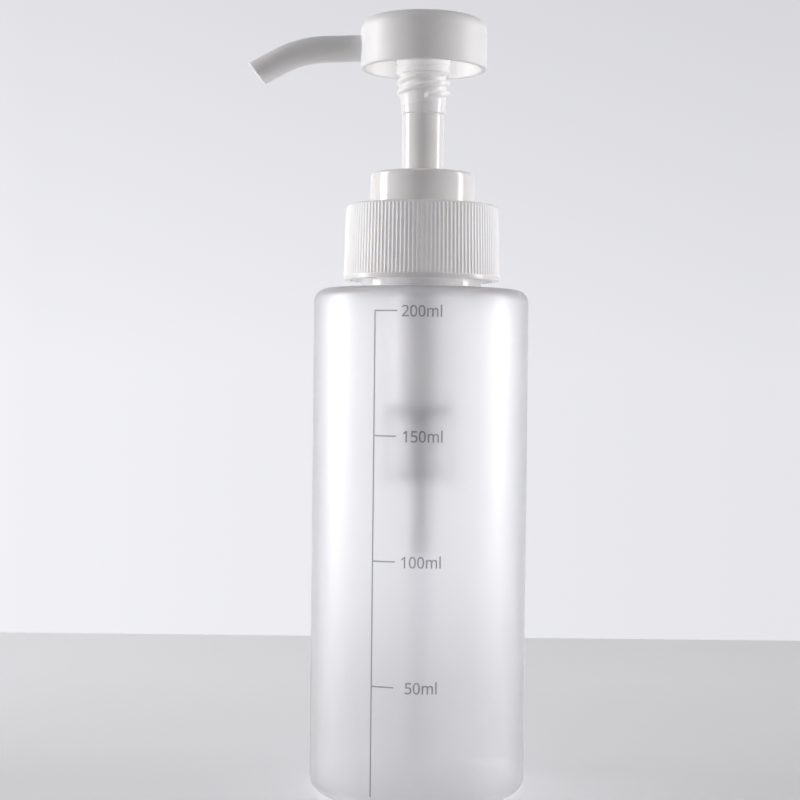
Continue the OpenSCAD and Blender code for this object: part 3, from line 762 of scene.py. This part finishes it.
# The cap is a hollow turned cup. The boss under it is a second turned outline, whose
# radius follows the higher of its wall and its two-start thread, and which carries
# shallow grooves where the thread runs into it.
def makeHead(h):
    inside = h["radius"] - h["wall"]
    cap = roundCorners([
        (0, h["top"]), (h["radius"], h["top"], h["edge"]), (h["radius"], h["rim"], 0.3),
        (inside, h["rim"], 0.3), (inside, h["top"] - h["plate"], 1),
        (0, h["top"] - h["plate"])], 10)
    cap = addRows(cap)
    makePiece("headCap", spin(cap, h["columns"]), gridFaces(len(cap), h["columns"]), "actuator",
              (finish["head"],), stands=("head",))
    under = h["top"] - h["plate"] + h["sink"]
    boss = roundCorners([
        (h["bore"], h["sleeveZ"]), (h["sleeve"], h["sleeveZ"], 0.25),
        (h["sleeve"], h["threadZ"] - 0.4, 0.3), (h["root"], h["threadZ"], 0.2),
        (h["root"], h["bossZ"], 0.5), (h["boss"], h["bossZ"], 0.3), (h["boss"], under),
        (h["channel"], under), (h["channel"], h["boreTop"]), (h["bore"], h["boreTop"]),
        (h["bore"], h["sleeveZ"] + 0.01)])
    boss = addRows(boss, dense=((h["threadZ"] + 0.25, h["bossZ"] - 0.52, h["root"]),
                                (h["bossZ"] + 0.32, h["bossZ"] + 3, h["boss"])), spacing=0.08)

    def grow(r, z, angle):
        side = (r > h["root"] - 0.001) & (r < h["root"] + 0.51) & (z > h["threadZ"] + 0.1)
        side &= z < h["bossZ"] + 0.001
        crest = h["root"] + threadHeight(z, angle, h["thread"])
        crest = np.where(z > h["bossZ"] - 0.01, np.minimum(crest, h["boss"] - 0.31), crest)
        groove = np.clip(h["root"] + h["grooveReach"] - crest, 0, h["groove"])
        groove *= np.clip(z - h["bossZ"] - h["grooveFrom"], 0, 1)
        groove *= np.clip(h["bossZ"] + h["grooveTo"] - z, 0, 1)
        outside = (z > h["bossZ"] + h["grooveFrom"]) & (np.abs(r - h["boss"]) < 1e-3)
        return np.where(side, np.maximum(r, crest), np.where(outside, r - groove, r))

    makePiece("headBoss", spin(boss, h["columns"], grow), gridFaces(len(boss), h["columns"], True),
              "actuator", (finish["hub"],))


# The nozzle's middle line leaves the head along -X, falls a little, turns down on a
# circle and ends in a short straight tip. A circle is carried along it outside and back
# inside, over a lip that is a quarter circle on either side. The slant moves each point
# of the tip forward by its height over the line times the slant's tangent.
def makeNozzle(n):
    fall, turn = math.radians(n["fall"]), math.radians(n["turn"])
    straight = np.linspace(n["start"], n["run"], n["runRows"])
    along = [np.stack([straight, 0 * straight], -1)]
    a = np.linspace(0, turn, n["bendRows"])[1:]
    along.append(np.stack([n["run"] + n["bend"] * np.sin(a), n["bend"] * (np.cos(a) - 1)], -1))
    end = along[-1][-1]
    t = np.array(n["tipRows"])[:, None] * n["tip"]
    along.append(end + t * np.array([math.cos(turn), -math.sin(turn)]))
    line = np.vstack(along)
    angle = np.r_[0 * straight, a, np.full(len(t), turn)]
    share = np.r_[0 * straight, 0 * a, t[:, 0] / n["tip"]]
    rows, radius = np.arange(len(line)), np.full(len(line), n["radius"])
    quarter = np.linspace(0, np.pi / 2, n["lipRows"])[1:]
    lip, reach = n["lip"] * (1 - np.cos(quarter)), n["lip"] * np.sin(quarter)
    order = np.r_[rows, np.full(2 * len(quarter), rows[-1]), rows[::-1]]
    sizes = np.r_[radius, n["radius"] - lip, (n["bore"] + lip)[::-1], np.full(len(line), n["bore"])]
    push = np.r_[np.zeros(len(line)) - n["lip"] * (share > 0.99), reach - n["lip"],
                 (reach - n["lip"])[::-1], np.zeros(len(line)) - n["lip"] * (share[::-1] > 0.99)]
    x, z, tilt, cutShare = line[order, 0], line[order, 1], angle[order], share[order]
    forward = np.stack([np.cos(tilt), 0 * tilt, -np.sin(tilt)], -1)
    up = np.stack([np.sin(tilt), 0 * tilt, np.cos(tilt)], -1)
    across = np.repeat(np.array([[0.0, 1.0, 0.0]]), len(order), 0)
    path = np.stack([x, 0 * x, z], -1) + forward * push[:, None]
    grid = sweep(path, sizes, n["sides"], across, up)
    lift = ((grid - path[:, None]) * up[:, None]).sum(-1)
    slant = math.tan(math.radians(n["slant"])) * cutShare[:, None] * lift
    grid = grid + forward[:, None] * slant[..., None]
    turned = np.array([[-math.cos(fall), 0, -math.sin(fall)], [0, -1, 0],
                       [-math.sin(fall), 0, math.cos(fall)]])
    grid = grid @ turned.T
    grid[..., 2] += n["z"]
    makePiece("headNozzle", grid, gridFaces(len(order), n["sides"], True), "actuator",
              (finish["head"],))


makeHead(head)
makeNozzle(nozzle)


# ---- floor, light and camera ----

# A fade is an axis, where it starts and ends along it, and what it gives there; the floor's fades
# are painted shade that darkens its colour towards the right and the front. In the world, names
# that end in X, Y or Z hold the same for that part of a direction, fillX and sideRamp for its size
# without the sign.
studio = {
    "floor": {"left": -900, "right": 900, "front": -1300, "back": 223, "thickness": 12,
              "corner": 60, "colour": (0.975, 0.975, 1.0), "pale": 0.14, "roughness": 0.8,
              "specular": 0.1, "patch": 60, "spread": 0.015,
              # painted shade: these fades darken the floor's colour towards the right and the front
              "fade": (("X", -0.13, 0.12, 1.0, 0.86), ("Y", 0.0, 0.14, 0.9, 1.0),
                       ("Y", -0.3, -0.01, 0.75, 1.0))},
    "lampAway": 1.2, "lampTall": 1.2, "lampHeight": 0.3,
    "lamps": (
        {"name": "leftStrip", "turn": 95, "wide": 0.444, "strength": 7.6, "gloss": True},
        {"name": "rightStrip", "turn": -92.5, "wide": 0.32, "strength": 7.5, "gloss": True},
        {"name": "leftBox", "turn": 90, "wide": 0.444, "strength": 7.2, "gloss": False},
        {"name": "rightBox", "turn": -86, "wide": 0.36, "strength": 7.1, "gloss": False},
    ),
    "backdropLow": (0.84, 0.84, 0.87), "backdropHigh": (0.70, 0.70, 0.73),
    "backdropZ": (0.0, 0.25), "wallTop": (0.22, 0.17, 0.19), "wallTopZ": (0.3, 0.7),
    "wallFront": 0.35, "wallY": (-0.6, 0.2), "leanX": (-0.2, 0.2, 1.045, 0.945),
    "sideRamp": ((0.0, 1.0), (0.22, 1.0), (0.33, 1.1), (0.45, 1.0), (0.6, 0.7), (1.0, 0.7)),
    "throughClear": 1.12, "frontTint": (1.0, 0.94, 0.92), "backTint": (0.98, 0.98, 1.0),
    "tintY": (-0.9, -0.2), "fillFront": 0.07, "fillBack": 0.95,
    "fillZ": (0.2, 0.9, 1.0, 0.09), "fillX": (0.7, 1.0, 1.0, 1.2),
}


# A slab with rounded corners. Its colour is dimmed by the product of its fades, which are painted
# shade, darker towards the right and the front, and it glows by pale for the rays that show it,
# which adds no light to matt surfaces.
def makeFloor(f):
    outline = roundCorners([
        (f["left"], f["front"], f["corner"]), (f["right"], f["front"], f["corner"]),
        (f["right"], f["back"], f["corner"]), (f["left"], f["back"], f["corner"]),
        (f["left"], f["front"] + f["corner"] + 1)])
    count = len(outline)
    ring = np.zeros((2, count, 3))
    ring[:, :, :2] = outline
    ring[1, :, 2] = -f["thickness"]
    mesh = bpy.data.meshes.new("floor")
    lower = list(range(2 * count - 1, count - 1, -1))
    sides = [[i, i + count, (i + 1) % count + count, (i + 1) % count] for i in range(count)]
    mesh.from_pydata((ring.reshape(-1, 3) * mm).tolist(), [], [list(range(count)), lower] + sides)
    mesh.update()
    floor = bpy.data.objects.new("floor", mesh)
    bpy.context.scene.collection.objects.link(floor)
    material, tree, shader = startFinish("paleFloor")
    tone = remap(tree, cloud(tree, f["patch"]), atLow=1 - f["spread"], atHigh=1 + f["spread"])
    place = coordinates(tree)
    # painted shade: each fade darkens the floor's colour along its axis, towards the right and the
    # front
    for axis, *fade in f["fade"]:
        tone = product(tree, tone, remap(tree, place[axis], *fade))
    tint = shade(tree, f["colour"], tone)
    pale = product(tree, seenRays(tree, addNode(tree, "ShaderNodeLightPath")), f["pale"])
    tree.links.new(tint, shader.inputs["Base Color"])
    tree.links.new(tint, shader.inputs["Emission Color"])
    tree.links.new(pale, shader.inputs["Emission Strength"])
    shader.inputs["Roughness"].default_value = f["roughness"]
    shader.inputs["Specular IOR Level"].default_value = f["specular"]
    mesh.materials.append(material)


# Soft lamps at both sides: a box for the light on matt surfaces, and a strip for what
# gloss shows. Neither is seen through the clear walls, so the bottle doesn't flare
# where a lamp stands behind it. A lamp's energy is its strength times its area and pi.
def makeLamp(s, lamp):
    data = bpy.data.lights.new(lamp["name"], "AREA")
    data.shape = "RECTANGLE"
    data.size, data.size_y = lamp["wide"], s["lampTall"]
    data.energy = lamp["strength"] * lamp["wide"] * s["lampTall"] * math.pi
    light = bpy.data.objects.new(lamp["name"], data)
    bpy.context.scene.collection.objects.link(light)
    turn = math.radians(lamp["turn"])
    light.location = (-math.sin(turn) * s["lampAway"], -math.cos(turn) * s["lampAway"],
                      s["lampHeight"])
    light.rotation_euler = (math.pi / 2, 0, -turn)
    light.visible_camera = light.visible_transmission = False
    light.visible_glossy, light.visible_diffuse = lamp["gloss"], not lamp["gloss"]


# Backdrop for what the camera, gloss and clear walls see, and a dimmer room round it
# for the light on matt surfaces: brighter from the back, darker from above
def makeWorld(s):
    world = bpy.data.worlds.new("studio")
    bpy.context.scene.world = world
    world.use_nodes = True
    tree = world.node_tree
    tree.nodes.clear()
    toward = coordinates(tree, "Generated")
    path = addNode(tree, "ShaderNodeLightPath")
    aside = addNode(tree, "ShaderNodeMath", {0: toward["X"]}, operation="ABSOLUTE").outputs[0]

    rise = remap(tree, toward["Z"], *s["backdropZ"])
    backdrop = blend(tree, rise, s["backdropLow"], s["backdropHigh"])
    backdrop = blend(tree, remap(tree, toward["Z"], *s["wallTopZ"]), backdrop, s["wallTop"])
    ramp = addNode(tree, "ShaderNodeValToRGB", {"Fac": aside})  # holds halves, doubled below
    for place, value in s["sideRamp"][1:-1]:
        ramp.color_ramp.elements.new(place)
    for stop, (place, value) in zip(ramp.color_ramp.elements, s["sideRamp"]):
        stop.position, stop.color = place, (value / 2, value / 2, value / 2, 1)
    ahead = remap(tree, toward["Y"], *s["wallY"], 2 * s["wallFront"], 2.0)
    lean = remap(tree, toward["X"], *s["leanX"])
    through = remap(tree, path.outputs["Is Transmission Ray"], atLow=1.0,
                    atHigh=s["throughClear"])
    wall = addNode(tree, "ShaderNodeBackground", {
        "Color": backdrop, "Strength": product(tree, ramp.outputs[0], ahead, lean, through)})

    turn = remap(tree, toward["Y"], *s["tintY"])
    back = remap(tree, turn, atLow=s["fillFront"], atHigh=s["fillBack"])
    top = remap(tree, toward["Z"], *s["fillZ"])
    sides = remap(tree, aside, *s["fillX"])
    room = addNode(tree, "ShaderNodeBackground", {
        "Color": blend(tree, turn, s["frontTint"], s["backTint"]),
        "Strength": product(tree, back, top, sides)})

    early = addNode(tree, "ShaderNodeMath", {0: path.outputs["Diffuse Depth"], 1: 0.5},
                    operation="LESS_THAN").outputs[0]
    seen = product(tree, seenRays(tree, path), early)
    both = addNode(tree, "ShaderNodeMixShader", {0: seen, 1: room.outputs[0], 2: wall.outputs[0]})
    addNode(tree, "ShaderNodeOutputWorld", {"Surface": both.outputs[0]})


view = {"away": 0.39756, "height": 0.09744, "focal": 1701.1, "frame": 800,
        "middle": (420.6, 369.7), "roll": 0.0105, "sensor": 36}


# Level camera in front of the bottle. Its lens is the focal length in pixels times the
# sensor's width over the frame's, and its shifts put the point straight ahead at middle.
def makeCamera(v):
    data = bpy.data.cameras.new("camera")
    data.sensor_width = v["sensor"]
    data.lens = v["focal"] / v["frame"] * v["sensor"]
    data.shift_x = -(v["middle"][0] / v["frame"] - 0.5)
    data.shift_y = v["middle"][1] / v["frame"] - 0.5
    camera = bpy.data.objects.new("camera", data)
    bpy.context.scene.collection.objects.link(camera)
    camera.matrix_world = (Matrix.Translation((0, -v["away"], v["height"]))
                           @ Matrix.Rotation(math.pi / 2, 4, "X")
                           @ Matrix.Rotation(v["roll"], 4, "Z"))
    bpy.context.scene.camera = camera


makeFloor(studio["floor"])
for lamp in studio["lamps"]:
    makeLamp(studio, lamp)
makeWorld(studio)
makeCamera(view)
bpy.context.scene.view_settings.view_transform = "Standard"
print("studio ready")
